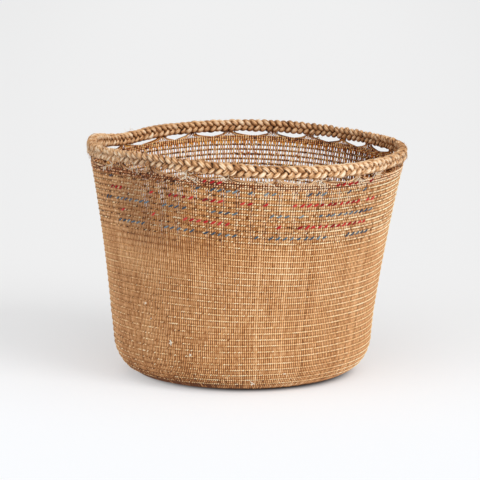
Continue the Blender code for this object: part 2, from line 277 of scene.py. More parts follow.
# Floor
# A flat twined mat: warps run out from the start and new ones are laid in as it gets wider, and two weft
# strands go round them in a spiral, about every 5.5 mm. Its underside is what the basket stands on.
RIM_RADIUS = 150.0 * MM
EDGE_HEIGHT = 200.2 * MM
SCALLOP_HEIGHT = 5.0 * MM
PLAIT_HEIGHT = 12.0 * MM
PLAIT_DEPTH = 9.2 * MM
NECK_HEIGHT = EDGE_HEIGHT + SCALLOP_HEIGHT
NECK_OFFSET = 1.6 * MM
PLAIT_RADIUS = RIM_RADIUS - PLAIT_DEPTH / 2
NECK_RADIUS = PLAIT_RADIUS + NECK_OFFSET
FLOOR_RADIUS = 88.0 * MM
CORNER_WIDTH = 33.3 * MM
CORNER_HEIGHT = 36.0 * MM
FLARE_BOW = 2.15 * MM
LEAN_HEIGHT = 60.0 * MM
WAVE_COS = (-2.6 * MM, -1.2 * MM, 1.0 * MM)
WAVE_SIN = (0.0 * MM, 2.1 * MM, -1.3 * MM)
BACK_LIFT = 0.5 * MM
BACK_LIFT_HEIGHTS = (160.0 * MM, 196.0 * MM, 201.0 * MM, 205.0 * MM)
WAVE_LOW = 20.0 * MM
WAVE_HIGH = 150.0 * MM
FLOOR_ZONES = ((3.0, 16.0, 33), (16.0, 30.0, 66), (30.0, 56.0, 132), (56.0, 72.0, 198), (72.0, 89.0, 396))
RIGHT, BACK, FRONT = 0, 90, 270
FLOOR_FIRST_ROUND = 9.5 * MM
FLOOR_ROUND_STEP = 5.5 * MM
FLOOR_ROUNDS = 15
SPOKE_STEPS = 8
SPOKE_OVERLAP = 1.5
SPOKE_SHARE = 0.44
SPOKE_HALF_MOST = 0.95 * MM
SPOKE_RIPPLE = 0.12 * MM
FLOOR_TONE = (0.42, 0.15)
FLOOR_WEFT_CUTS = 45
WARP_THICKNESS = 0.95 * MM
WEAVE_DEPTH_FLOOR = 1.3 * MM
WEAVE_DEPTH_WALL = 0.55 * MM
WEAVE_CHANGE_LENGTH = 25.0 * MM
WEFT_SWING = 0.82 * MM
WEFT_CROSSING = 0.38 * MM
WEFT_HALF_HEIGHT = 0.54 * MM
WEFT_HALF_DEPTH = 0.42 * MM
STEPS_PER_WARP = 3
OPEN_LOW = 134.0 * MM
OPEN_HIGH = 152.0 * MM
BAND_DEPTH = 7.0 * MM
# Painted shade high on the left of the front, away from the light: darker, with less contrast
HANDLED_PATCH = (math.radians(227), math.radians(29), 115.0 * MM, 180.0 * MM)
# A darker patch nearer the middle of the front
DUSTY_PATCH = (math.radians(257), math.radians(12), 130.0 * MM, 165.0 * MM)
RUBBED_LOW = 45.0 * MM
RUBBED_HIGH = 150.0 * MM
# Where ramps towards the left start and end, from -1 at the right to 1 at the left
RUBBED_SIDE = (-0.4, 0.6)
# LEFT_SIDE and LEFT_SIDE_OPEN bring in painted shade on the left, which faces away from the light
LEFT_SIDE = (0.2, 0.8)
LEFT_SIDE_OPEN = (0.7, 0.95)
ROUND_STRAND = [(math.cos(a), math.sin(a)) for a in np.arange(5, 0, -1) * TURN / 5]
# Painted shade round a weft strand: darker away from its outward side, more on its inner half
SHADE_OUTSIDE = 0.15
SHADE_INSIDE = 0.32
WEFT_SHADE = np.array([(SHADE_OUTSIDE if out > -0.1 else SHADE_INSIDE) * (out - 1.0)
                       for up, out in ROUND_STRAND])
WEFT_TONES = ((0.0, "#442008"), (0.35, "#BE7D46"), (0.65, "#F3C88C"), (1.0, "#FFF4D2"))
# How far each kind of wear or painted shade moves a bead's tone, where 0 is dark grass and 1 pale. The
# patch high on the left of the front and both shares of the left are painted shade, away from the light
BEAD_TONE = {"all": 1.05, "worn": -0.15, "rubbed": -0.14, "dusty": -0.2, "handled": -0.75, "left": -0.08,
             "left_open": -0.25, "open": 0.43, "band": -0.06, "back": -0.06, "back_band": 0.28}
BEAD_VARIETY = {"all": 0.07, "open": 0.25, "rubbed": 0.16}
BEAD_HEIGHT = {"all": 1.04, "worn": -0.18, "open": 0.16, "band": 0.25, "back": 0.22}
# Painted shade where a strand dives between two warps: less in the patch high on the left and in the band
DIVE_DARK = {"all": 0.72, "open": 1.2}
DIVE_HANDLED = 0.85
DIVE_BAND = 0.15


def smooth_step(value, low, high):
    """Zero below low, one above high, with a smooth ramp between."""
    share = np.clip((value - low) / (high - low), 0.0, 1.0)
    return share * share * (3.0 - 2.0 * share)


def skin_radius(height):
    """Outer radius at a height: a quarter ellipse at the foot, then a flare that opens towards the rim."""
    below = np.clip((CORNER_HEIGHT - height) / CORNER_HEIGHT, 0.0, 1.0)
    corner = FLOOR_RADIUS + CORNER_WIDTH * np.sqrt(1.0 - below ** 2)
    share = np.clip((height - CORNER_HEIGHT) / (NECK_HEIGHT - CORNER_HEIGHT), 0.0, None)
    flare = (NECK_RADIUS - FLOOR_RADIUS - CORNER_WIDTH) * share
    return corner + flare - 4.0 * FLARE_BOW * share * (1.0 - share)


def place(angle, radius, height):
    """World points: the circle at a height, moved sideways by the lean and lifted by the rim's slow wave."""
    angle, radius, height = np.broadcast_arrays(angle, radius, height)
    lean = -LEAN * np.clip((NECK_HEIGHT - height) / (NECK_HEIGHT - LEAN_HEIGHT), 0.0, 1.0)
    rise = sum(c * np.cos((n + 1) * angle) for n, c in enumerate(WAVE_COS))
    rise = rise + sum(s * np.sin((n + 1) * angle) for n, s in enumerate(WAVE_SIN))
    rise = rise * smooth_step(height, WAVE_LOW, WAVE_HIGH)
    return np.stack([radius * np.cos(angle) + lean, radius * np.sin(angle), height + rise], axis=-1)


def meridian():
    """Heights, radii, outward directions and lengths along the skin, from the floor's middle to the rim.

    Lengths count from the floor's edge, so they are below zero on the floor, where outward is down. At the
    foot it is square to the quarter ellipse, and above level.
    """
    around = np.linspace(0.0, math.pi / 2, 400)
    foot = CORNER_HEIGHT * (1.0 - np.cos(around))
    side = np.linspace(CORNER_HEIGHT, RIM_RADIUS * 1.5, 600)[1:]
    height = np.concatenate([foot, side])
    radius = skin_radius(height)
    length = np.concatenate([[0.0], np.cumsum(np.hypot(np.diff(radius), np.diff(height)))])
    square = np.stack([CORNER_HEIGHT * np.sin(around), -CORNER_WIDTH * np.cos(around)])
    square = square / np.linalg.norm(square, axis=0)
    outward_r = np.concatenate([[0.0], square[0], np.ones_like(side)])
    outward_z = np.concatenate([[-1.0], square[1], np.zeros_like(side)])
    height = np.concatenate([[0.0], height])
    radius = np.concatenate([[0.0], radius])
    length = np.concatenate([[-FLOOR_RADIUS], length])
    return height, radius, outward_r, outward_z, length


MERIDIAN = meridian()


def length_at(height):
    """Length up the meridian at which the skin reaches a height above the floor's edge."""
    return np.interp(height, MERIDIAN[0][1:], MERIDIAN[4][1:])


def towards(angle, side):
    """Share, up to 1, of a side given in degrees: the cosine of the angle to it, never below zero."""
    return np.clip(np.cos(angle - math.radians(side)), 0.0, 1.0)


def bell(distance, reach):
    """Bell curve: e to the minus square of the distance over the reach."""
    return np.exp(-(distance / reach) ** 2)


def skin_point(angle, length, outward):
    """World points at a length up the meridian, moved outward from the skin.

    The edge lies BACK_LIFT higher at the back: a ramp up to the edge, times a ramp down above it.
    """
    height, radius, outward_r, outward_z, lengths = MERIDIAN
    low, full, end, high = (length_at(level) for level in BACK_LIFT_HEIGHTS)
    lift = smooth_step(length, low, full) * (1.0 - smooth_step(length, end, high))
    length = length + BACK_LIFT * lift * towards(angle, BACK)
    at_height = np.interp(length, lengths, height) + outward * np.interp(length, lengths, outward_z)
    at_radius = np.interp(length, lengths, radius) + outward * np.interp(length, lengths, outward_r)
    return place(angle, at_radius, at_height)


def skin_frame(angle, length):
    """Unit directions at points of the skin: round the basket, up the wall and outward."""
    angle, length = np.broadcast_arrays(angle, length)
    out_r = np.interp(length, MERIDIAN[4], MERIDIAN[2])
    out_z = np.interp(length, MERIDIAN[4], MERIDIAN[3])
    size = np.hypot(out_r, out_z)
    out_r, out_z = out_r / size, out_z / size
    around = np.stack([-np.sin(angle), np.cos(angle), np.zeros_like(angle)], axis=-1)
    out = np.stack([out_r * np.cos(angle), out_r * np.sin(angle), out_z], axis=-1)
    return around, np.cross(out, around), out


def weave_middle(length):
    """Where the warps' middle lies, outward of the skin: a ramp from its depth on the floor to the wall's."""
    rise = (WEAVE_DEPTH_FLOOR - WEAVE_DEPTH_WALL) * smooth_step(length, 0.0, WEAVE_CHANGE_LENGTH)
    return rise - WEAVE_DEPTH_FLOOR


def open_share(length):
    """Share, up to 1, of the open upper part of the wall, which starts below the wool rows."""
    return smooth_step(length, length_at(OPEN_LOW), length_at(OPEN_HIGH))


def band_share(length):
    """Share, up to 1, of the edge band, with a ramp a millimetre long under it."""
    low = length_at(EDGE_HEIGHT) - BAND_DEPTH
    return smooth_step(length, low, low + 1.0 * MM)


def patch_share(angle, length, patch):
    """Share, up to 1, of a patch of wear: a bell curve round its angle, times a ramp up the wall.

    A patch is its angle, its reach to each side, and the lengths at which the ramp starts and ends. One
    patch, high on the left of the front, away from the light, is painted shade. The other, nearer the
    middle, is darker.
    """
    centre, reach, low, high = patch
    return bell(angle % TURN - centre, reach) * smooth_step(length, low, high)


def weighed(weights, **shares):
    """Sum of the shares, each times the weight of its name."""
    return sum(weights[name] * share for name, share in shares.items())


def twined_pair(name, angle, length, crossings, look, seed, ring=False, cuts=1):
    """Two strands twined along a path that crosses a warp whenever the count of crossings is whole.

    Outward of the weave's middle is the cosine and upward the sine of half a turn per warp, and the two
    strands are half a turn apart. Their tone is a sum of shares of wear and of painted shade, plus a part of
    its own for each bead. Painted shade darkens them where they dive between warps, most in the open part
    above. It also darkens the left, which faces away from the light, most in a patch high on the left of
    the front. The lower left is rubbed uneven.
    """
    phase = math.pi * crossings[None, :] + math.pi * np.arange(2)[:, None]
    angle = np.repeat(angle[None, :], 2, axis=0)
    length = np.repeat(length[None, :], 2, axis=0) + WEFT_CROSSING * np.sin(phase)
    outward = weave_middle(length) + WEFT_SWING * np.cos(phase)
    up, out = skin_frame(angle, length)[1:]
    worn = 0.5 + 0.5 * drift(angle * 5, length, seed, 4, 70 * MM)
    bead = np.floor(crossings + 0.5).astype(int)
    own = np.random.default_rng(seed + 1).normal(0.0, 1.0, (2, int(crossings[-1]) + 3))[:, bead]
    open_part, band = open_share(length), band_share(length)
    back = towards(angle, BACK) * open_part
    handled = patch_share(angle, length, HANDLED_PATCH)
    leftward = -np.cos(angle)
    rubbed = (1.0 - smooth_step(length, RUBBED_LOW, RUBBED_HIGH)) * smooth_step(leftward, *RUBBED_SIDE)
    tone = weighed(BEAD_TONE, all=1.0, worn=worn, rubbed=rubbed, handled=handled, open=open_part, band=band,
                   dusty=patch_share(angle, length, DUSTY_PATCH), back=back, back_band=back * band,
                   left=smooth_step(leftward, *LEFT_SIDE) * (1.0 - open_part),
                   left_open=smooth_step(leftward, *LEFT_SIDE_OPEN) * open_part)
    tone = tone + own * weighed(BEAD_VARIETY, all=1.0, open=open_part, rubbed=rubbed)
    dark = weighed(DIVE_DARK, all=1.0, open=open_part)
    dark = dark * (1.0 - DIVE_HANDLED * handled) * (1.0 - DIVE_BAND * band)
    tone = tone - dark * (1.0 - np.abs(np.cos(phase)))
    taller = weighed(BEAD_HEIGHT, all=1.0, worn=worn, open=open_part, band=band, back=back)
    return strand_mesh(name, skin_point(angle, length, outward), up * (WEFT_HALF_HEIGHT * taller)[..., None],
                       out * WEFT_HALF_DEPTH, ROUND_STRAND, tone[..., None] + WEFT_SHADE, look, ring, cuts)


spokes_in_all = sum(count for near, far, count in FLOOR_ZONES)
floor_grass = dried_grass("dried_grass_floor", GRASS_TONES, strips=spokes_in_all, run=15 * MM, gloss=0.35)
rng = np.random.default_rng(9)
spokes = []
for near, far, count in FLOOR_ZONES:
    number = np.arange(count)[:, None]
    radius = near * MM + (far + SPOKE_OVERLAP - near) * MM * np.linspace(0.0, 1.0, SPOKE_STEPS)[None, :]
    pitch = TURN / count
    angle = (number + 0.5) * pitch + 0.04 * pitch * np.sin(number * 2.4 + radius * 400)
    length = radius - FLOOR_RADIUS
    around, up, out = skin_frame(angle, length)
    ripple = SPOKE_RIPPLE * np.sin(number * 1.9 + radius * 300)
    middle = skin_point(angle, length, weave_middle(length) - ripple)
    width = np.minimum(SPOKE_SHARE * pitch * radius, SPOKE_HALF_MOST)[..., None]
    tone = rng.normal(*FLOOR_TONE, (count, 1, 1)) + STEM_SHADE + 0.0 * angle[..., None]
    spokes.append((middle, around * width, out * WARP_THICKNESS / 2, tone))
middle, across, out, tone = (np.concatenate([spoke[i] for spoke in spokes]) for i in range(4))
piece = strand_mesh("floor_warps", middle, across, out, FLAT_STEM, tone, floor_grass)
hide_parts("floor_mat")
floor_weft = dried_grass("dried_grass_floor_weft", WEFT_TONES, strips=2 * FLOOR_WEFT_CUTS, run=150 * MM,
                         gloss=0.4)
rounds = FLOOR_FIRST_ROUND + FLOOR_ROUND_STEP * np.arange(FLOOR_ROUNDS)
zone_starts = np.array([near for near, far, count in FLOOR_ZONES]) * MM
zone_counts = np.array([count for near, far, count in FLOOR_ZONES])
round_warps = zone_counts[np.searchsorted(zone_starts, rounds, side="right") - 1]
round_steps = round_warps * STEPS_PER_WARP
turn = np.concatenate([row + np.arange(steps) / steps for row, steps in enumerate(round_steps)])
crossings = np.arange(len(turn)) / STEPS_PER_WARP - 0.5
length = np.minimum(FLOOR_FIRST_ROUND + FLOOR_ROUND_STEP * turn - FLOOR_RADIUS, 1.0 * MM)
piece = twined_pair("floor_weft", turn * TURN, length, crossings, floor_weft, 40, cuts=FLOOR_WEFT_CUTS)
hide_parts("floor_mat")


# Warps of the wall
# The warps turn up from the floor and run to the rim, several hundred of them. They are flat and nearly two
# millimetres wide. They lie close together below, and from about the wool rows up they stand apart.
WARPS = 396
WARP_SECTORS = ("right", "back", "left", "front")
TURN_STEPS = (-0.16, 0.16, 0.5)
STEP_LEAST = 0.3 * MM
WARP_START = -1.0 * MM
WARP_FILL_LOW = 0.97
WARP_FILL_FRONT = 0.80
WARP_PINCH = 0.16
WARP_FILL_BACK = 0.49
WARP_FILL_SIDE = 0.25
WARP_FOOT_GAP = 0.03
WARP_FOOT_LENGTHS = (20.0 * MM, 75.0 * MM)
WARP_BAND_CLOSE = 0.8
WARP_STRAY = 0.045
WARP_WAVE = 31.0 * MM
WARP_STRAY_BACK = 0.26
WARP_BULGE = 0.25 * MM
EDGE_BAND_HEIGHT = 4.6 * MM
WEFT_FOOT = 6.0 * MM
WEFT_STEP_TOP = 5.2 * MM
WEFT_STEP_FOOT = 5.75 * MM
WEFT_CLOSE_TURNS = 9
WEFT_SWELL = 2.3 * MM
WEFT_SWELL_PLACE = 0.12
WEFT_SWELL_SPREAD = 0.13
WEFT_SQUEEZE = 0.12
WEFT_SAG = 1.4 * MM
WEFT_SHIFT_LENGTHS = (60.0 * MM, 150.0 * MM)
WEFT_TOP = length_at(EDGE_HEIGHT - EDGE_BAND_HEIGHT) - WEFT_STEP_TOP / 4
SEAM_ANGLE = math.pi
WEFT_TURNS = WEFT_CLOSE_TURNS + int((WEFT_TOP - WEFT_CLOSE_TURNS * WEFT_STEP_TOP - length_at(WEFT_FOOT))
                                    / WEFT_STEP_FOOT)
# Painted shade at the lower left of the foot, which faces away from the light
SOILED_ANGLE = math.radians(220)
SOILED_SIDE = (0.6, 0.95)
SOILED_LENGTHS = (5.0 * MM, 45.0 * MM)
# Painted shade on the left of the wall, which faces away from the light
WARP_LEFT_SIDE = (0.3, 0.9)
# Painted shade darker towards the ground, and a dark painted shadow where the wall meets the ground
LOW_LENGTHS = (0.0, 80.0 * MM)
CONTACT_LENGTHS = (2.0 * MM, 17.0 * MM)
MOTTLED_LENGTHS = (12.0 * MM, 45.0 * MM)
# As for the beads, but for the warps: bulge is the part between two rows of weft, and row the part under
# one. A painted highlight lies on the bulge, and painted shade under the rows, near the ground, at the
# lower left of the foot and on the left
WARP_TONE = {"wander": 0.08, "closed": -0.04, "open_front": 0.05, "open_right": 0.04, "low": -0.08,
             "contact": -0.7, "soiled": -0.65, "left": -0.04, "dusty": -0.16, "band": -0.55,
             "band_back": 0.15, "bulge": 0.08, "bulge_open": 0.02, "row": -0.22, "row_open": -0.2,
             "row_handled": 0.2, "row_left": 0.12}
WARP_VARIETY = {"all": 0.05, "open": 0.06, "bulge": 0.02, "bulge_open": 0.05}
WARP_VARIETY_FOOT = 0.13
WARP_VARIETY_LOST = 0.5
WALL_TONE = (0.46, 0.05)
# How strongly painted shade darkens a warp's edges: most under rows, least where it bulges in the open part
WARP_ROUNDNESS = {"all": 1.35, "open": 0.3, "bulge": -0.25, "bulge_open": -0.75}
# Tone added to a warp's inner face: paler, more in the edge band, with a painted shadow at the right of the
# back
WARP_INNER_TONE = {"all": 0.1, "band": 0.36, "back_right": -0.65}


def turn_length(turn, spot):
    """Length up the meridian at a turn of the weft spiral: even steps, closer in the topmost turns.

    spot is the share of a turn from the seam, which is at the left. Higher up, the rows also swell upwards
    in a bell curve an eighth of a turn from the seam, at the left of the front. At the back they lie closer
    together and sag a little.
    """
    below = WEFT_TURNS - turn
    wider = (WEFT_STEP_FOOT - WEFT_STEP_TOP) * np.maximum(below - WEFT_CLOSE_TURNS, 0.0)
    length = WEFT_TOP - WEFT_STEP_TOP * below - wider
    swell = bell((spot - WEFT_SWELL_PLACE + 0.5) % 1.0 - 0.5, WEFT_SWELL_SPREAD)
    closer = (WEFT_SQUEEZE * (WEFT_TOP - length) - WEFT_SAG) * towards(SEAM_ANGLE + spot * TURN, BACK)
    return length + (WEFT_SWELL * swell + closer) * smooth_step(length, *WEFT_SHIFT_LENGTHS)


def warp_angle(number, length):
    """Angle of a warp: even spacing, plus waves of its own, wider in the open part at the back."""
    stray = np.sin(length * TURN / WARP_WAVE + number * 2.4) * np.sin(number * 1.7 + length * 55)
    stray = WARP_STRAY * stray
    behind = towards(number * TURN / WARPS, BACK) * open_share(length)
    stray = stray + WARP_STRAY_BACK * behind * np.sin(number * 4.4 + length * 230)
    return (number + 0.5 + stray) * TURN / WARPS


def in_front(angle):
    """Share, up to 1, of the front, with a wide ramp at each side."""
    return smooth_step(-np.sin(angle), -0.5, 0.5)


def back_right(angle):
    """Share, up to 1, of the right part of the back, which is closer: a ramp to the right times one back."""
    return smooth_step(np.cos(angle), 0.35, 0.85) * smooth_step(np.sin(angle), 0.0, 0.3)


def warp_width(angle, length):
    """Width of a warp: a share of the pitch, smaller above, where the wall is open, and at the back."""
    pitch = TURN / WARPS * np.interp(length, MERIDIAN[4], MERIDIAN[1])
    above = WARP_FILL_BACK + (WARP_FILL_FRONT - WARP_FILL_BACK) * in_front(angle)
    above = above + WARP_FILL_SIDE * back_right(angle)
    opened = open_share(length) * (1.0 - WARP_BAND_CLOSE * band_share(length))
    foot = (1.0 - smooth_step(length, *WARP_FOOT_LENGTHS)) * towards(angle, FRONT)
    below = WARP_FILL_LOW - WARP_FOOT_GAP * foot
    return pitch * (below + (above - below) * opened)


def warp_looks(own, angle, length, bulge, rng):
    """Tone of the warps at each step, and what is added to it round their section.

    The tone is the warp's own plus a sum of shares of wear and of painted light and shade: painted shade
    makes a warp darker under the rows of weft, near the ground, at the lower left of the foot and on the
    left, and a painted highlight makes it paler where it bulges between two rows. Each step has a random
    part.
    Round the section the edges carry painted shade, least where the warp bulges, and the inner face is
    paler, but has a dark painted shadow at the right of the back.
    """
    opened, band = open_share(length), band_share(length)
    handled = patch_share(angle, length, HANDLED_PATCH)
    left = smooth_step(-np.cos(angle), *WARP_LEFT_SIDE)
    soiled = smooth_step(np.cos(angle - SOILED_ANGLE), *SOILED_SIDE)
    soiled = soiled * (1.0 - smooth_step(length, *SOILED_LENGTHS))
    row = 1.0 - bulge
    tone = own + weighed(
        WARP_TONE, wander=drift(angle * 9, length, 5, 30, 40 * MM), closed=1.0 - opened,
        open_front=opened * (1.0 - np.sin(angle)), open_right=opened * towards(angle, RIGHT),
        low=1.0 - smooth_step(length, *LOW_LENGTHS), contact=1.0 - smooth_step(length, *CONTACT_LENGTHS),
        soiled=soiled, left=left, dusty=patch_share(angle, length, DUSTY_PATCH), band=band,
        band_back=band * towards(angle, BACK), bulge=bulge, bulge_open=bulge * opened, row=row,
        row_open=row * opened, row_handled=row * handled, row_left=row * left)
    variety = weighed(WARP_VARIETY, all=1.0, open=opened, bulge=bulge, bulge_open=bulge * opened)
    variety = variety * (1.0 - WARP_VARIETY_LOST * handled)
    variety = variety + WARP_VARIETY_FOOT * (1.0 - smooth_step(length, *MOTTLED_LENGTHS))
    tone = tone + rng.normal(0.0, 1.0, length.shape) * variety
    roundness = weighed(WARP_ROUNDNESS, all=1.0, open=opened, bulge=bulge, bulge_open=bulge * opened)
    shade = STEM_SHADE * roundness[..., None]
    inner = weighed(WARP_INNER_TONE, all=1.0, band=band, back_right=back_right(angle))
    shade[..., INNER_FACE] += inner[..., None]
    return tone, shade


wall_grass = dried_grass("dried_grass_warps", GRASS_TONES, strips=WARPS / 4, run=220 * MM, gloss=0.25)
rng = np.random.default_rng(11)
# Three warps in a hundred are of paler grass
warp_tone = rng.normal(*WALL_TONE, WARPS) + 0.07 * (rng.random(WARPS) < 0.03)
warp_girth = rng.uniform(0.96, 1.04, WARPS)
# A step close under each turn of the weft, one close over it and one where the warp bulges between two turns
weave_steps = (np.arange(-1, WEFT_TURNS + 1)[:, None] + np.array(TURN_STEPS)).ravel()
between_rows = np.tile([0.0, 0.0, 1.0], len(weave_steps) // 3)
for sector, side in enumerate(WARP_SECTORS):
    number = np.arange(sector * WARPS // 4, (sector + 1) * WARPS // 4)[:, None]
    spot = ((number + 0.5) / WARPS - SEAM_ANGLE / TURN) % 1.0
    turn = weave_steps[None, :] + spot
    # Under the first turn the steps share out what is left of the wall, and none passes the edge
    under = turn_length(0.0, spot) * (1.0 + turn)
    length = np.where(turn < 0.0, under, turn_length(np.maximum(turn, 0.0), spot))
    length[:, 0] = WARP_START
    length = np.minimum(length, length_at(EDGE_HEIGHT) - STEP_LEAST * np.arange(len(weave_steps))[::-1])
    angle = warp_angle(number, length)
    around, up, out = skin_frame(angle, length)
    pinch = WARP_PINCH * open_share(length) * in_front(angle) * (2.0 * between_rows - 1.0)
    width = (warp_girth[number] * warp_width(angle, length) * (1.0 + pinch))[..., None]
    middle = skin_point(angle, length, weave_middle(length) + WARP_BULGE * between_rows)
    tone, shade = warp_looks(warp_tone[number], angle, length, between_rows, rng)
    piece = strand_mesh(f"wall_warps_{side}", middle, around * width / 2, out * WARP_THICKNESS / 2,
                        FLAT_STEM, tone[..., None] + shade, wall_grass)
    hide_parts("warp_wall")


# Weft of the wall
# One pair of grass strands goes on round the wall in a long spiral. The two change places between each
# warp and the next, so outside they show as rows of small pale beads, 5 to 6 mm above each other.
WEFT_PARTS = ("foot", "low", "middle", "high", "top")
WEFT_WOBBLE = 0.35 * MM
WEFT_CUTS = 65
weft_grass = dried_grass("dried_grass_weft", WEFT_TONES, strips=2 * WEFT_CUTS, run=215 * MM, gloss=0.4)
for part, title in enumerate(WEFT_PARTS):
    first, last = part * WEFT_TURNS / len(WEFT_PARTS), (part + 1) * WEFT_TURNS / len(WEFT_PARTS)
    turn = np.linspace(first, last, int(round((last - first) * WARPS * STEPS_PER_WARP)) + 1)
    wobble = WEFT_WOBBLE * drift(turn * TURN, 0.0, 20, 11, 1.0)
    piece = twined_pair(f"weft_{title}", SEAM_ANGLE + turn * TURN, turn_length(turn, turn % 1.0) + wobble,
                        (turn + SEAM_ANGLE / TURN) * WARPS - 0.5, weft_grass, 30, cuts=WEFT_CUTS)
    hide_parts("weft_spiral", "weft_turn_1", "weft_turn_2", "weft_turn_3", "weft_turn_4")


# Edge band
# Three rows of the same twining, worked closer together, lock the wall before the warps are gathered.
EDGE_ROWS = ("upper", "middle", "lower")
EDGE_STEP = 2.35 * MM
EDGE_DROP = 0.7 * MM
EDGE_BACK_CLOSER = 0.35
EDGE_WOBBLE = 0.2 * MM
EDGE_CUTS = 8
EDGE_TONES = ((0.0, "#3A1606"), (0.35, "#B4683A"), (0.65, "#EEB07A"), (1.0, "#FFE8C4"))
edge_grass = dried_grass("dried_grass_edge", EDGE_TONES, strips=2 * EDGE_CUTS, run=115 * MM, gloss=0.4)
for row, title in enumerate(EDGE_ROWS):
    turn = np.arange(WARPS * STEPS_PER_WARP) / (WARPS * STEPS_PER_WARP)
    below = row * EDGE_STEP * (1.0 - EDGE_BACK_CLOSER * towards(turn * TURN, BACK))
    wobble = EDGE_WOBBLE * drift(turn * TURN, 0.0, 24 + row, 9, 1.0)
    length = length_at(EDGE_HEIGHT) - EDGE_DROP - below + wobble
    piece = twined_pair(f"edge_row_{title}", turn * TURN, length, turn * WARPS - 0.5 + row, edge_grass,
                        50 + row, ring=True, cuts=EDGE_CUTS)
    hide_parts("edge_band")


# Gathers
# Above the edge the warps lean together, some sixteen at a time, and go up into the plait as a bundle, so
# that a scallop stays open between each two. In front a few stems run on along the edge to the next bundle.
GATHERS = 24
GATHER_STEPS = 11
GATHER_LEVELS = (-0.12, 1.4)
GATHER_WIDTH = 0.66 * MM
GATHER_DEPTH = 0.55 * MM
GATHER_CURL = 0.45 * MM
GATHER_INWARD = 1.0 * MM
GATHER_FRONT_SHIFT = 0.2
NECK_STRAY = 0.05
NECK_LEAST = 0.18
NECK_MOST = 0.30
# The outer stems of a bundle are darker; painted shade darkens stems below the edge and under the plait
GATHER_TONE = {"outer": -0.4, "under_edge": -0.3, "under_plait": -0.3}
GATHER_VARIETY = 0.45
SILL_STEMS = 2
SILL_WIDTH = 0.4 * MM
SILL_LOW = 0.05
SILL_APART = 0.13
SILL_TOP = 0.88
SILL_VARIETY = 0.3
SILL_WAVE = 0.04
SILL_DEPTHS = (0.5 * MM, 0.7 * MM)
GATHER_SHIFTS = (0.0, -0.8, -2.0, -2.4, -3.1, -2.6, -2.1, -0.3, -2.2, 2.7, 0.8, 0.4,
                 -0.5, 1.0, -0.6, 1.2, 1.8, 0.6, 1.8, 3.4, 5.3, 3.2, -0.2, 0.3)
pitch = TURN / GATHERS
rng = np.random.default_rng(13)
number = np.arange(WARPS)[:, None]
foot_angle = (number + 0.5) * TURN / WARPS
centres = (np.arange(GATHERS) + 0.5) * pitch + np.radians(GATHER_SHIFTS)
shift = GATHER_FRONT_SHIFT * pitch * (0.5 - 0.5 * np.sin(centres[1:]))
between = np.concatenate([[0.0], (centres[1:] + centres[:-1]) / 2 + shift, [TURN]])
bundle = np.searchsorted(between, foot_angle) - 1
middle_angle = centres[bundle]
span = (between[1:] - between[:-1])[bundle]
neck_angle = middle_angle + pitch * rng.normal(0.0, NECK_STRAY, GATHERS)[bundle]
neck_share = rng.uniform(NECK_LEAST, NECK_MOST, GATHERS)[bundle]
crowd = np.clip(np.abs(foot_angle - middle_angle) / span * 2.0, 0.0, 1.0)
# A level is 0 at the edge and 1 at the foot of the plait. The outer stems of a bundle are pulled in sooner
level = np.linspace(*GATHER_LEVELS, GATHER_STEPS)[None, :]
pulled = (1.0 - np.clip(level, 0.0, 1.0)) ** (1.6 + 1.2 * crowd ** 2)
angle = neck_angle + (middle_angle - neck_angle) * pulled
angle = angle + (foot_angle - middle_angle) * (neck_share + (1.0 - neck_share) * pulled)
curl = rng.uniform(0.0, TURN, (WARPS, 1))
angle = angle + GATHER_CURL / RIM_RADIUS * np.sin(level * 7.0 + curl) * smooth_step(level, 0.0, 0.4)
tone = warp_tone[number] + rng.normal(0.05, GATHER_VARIETY, (WARPS, 1))
tone = tone + weighed(GATHER_TONE, outer=crowd ** 2, under_edge=level < 0.0,
                      under_plait=smooth_step(level, 0.6, 1.0))
depth = GATHER_DEPTH * (crowd * (1.0 - pulled) + smooth_step(level, 0.0, 0.6) * np.sin(number * 2.1))
# Each stem of a sill falls away from one bundle and runs on over the edge to the next, in a slight wave
front_ones = np.arange(GATHERS // 2, GATHERS - 1)
order = np.tile(np.arange(SILL_STEMS), len(front_ones))[:, None]
start = np.repeat(centres[front_ones], SILL_STEMS)[:, None]
next_one = np.repeat(centres[front_ones + 1], SILL_STEMS)[:, None]
run = np.linspace(0.0, 1.0, GATHER_STEPS)[None, :]
sill_low = SILL_LOW + SILL_APART * order
sill_level = sill_low + (SILL_TOP - sill_low) * (1.0 - run) ** (3.0 + order)
sill_wave = np.sin(run * (5.0 + 2.0 * order) + order * 2.0 + start * 31.0)
sill_level = sill_level + SILL_WAVE * (1.0 + order) * sill_wave
level = np.concatenate([np.repeat(level, WARPS, axis=0), sill_level])
angle = np.concatenate([angle, start + (next_one - start) * (0.06 + 0.94 * run)])
tone = np.concatenate([tone, 0.6 + rng.normal(0.0, SILL_VARIETY, order.shape) + 0.0 * run])
depth = np.concatenate([depth, np.array(SILL_DEPTHS)[order] + 0.0 * run])
height = EDGE_HEIGHT + level * SCALLOP_HEIGHT
length = length_at(height)
depth = depth + weave_middle(length) - GATHER_INWARD * smooth_step(level, 0.0, 1.0)
around, up, out = skin_frame(angle, length)
middle = skin_point(angle, length, depth)
across = unit(np.cross(out, unit(np.gradient(middle, axis=1))))
width = np.where(np.arange(len(level)) < WARPS, GATHER_WIDTH, SILL_WIDTH)[:, None, None]
gather_grass = dried_grass("dried_grass_gathers", GRASS_TONES, strips=len(level), run=12 * MM, gloss=0.35)
piece = strand_mesh("gathers", middle, across * width / 2, out * WARP_THICKNESS / 2, FLAT_STEM,
                    tone[..., None] + STEM_SHADE, gather_grass)
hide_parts(*[f"gather_{n + 1:02d}" for n in range(GATHERS)])


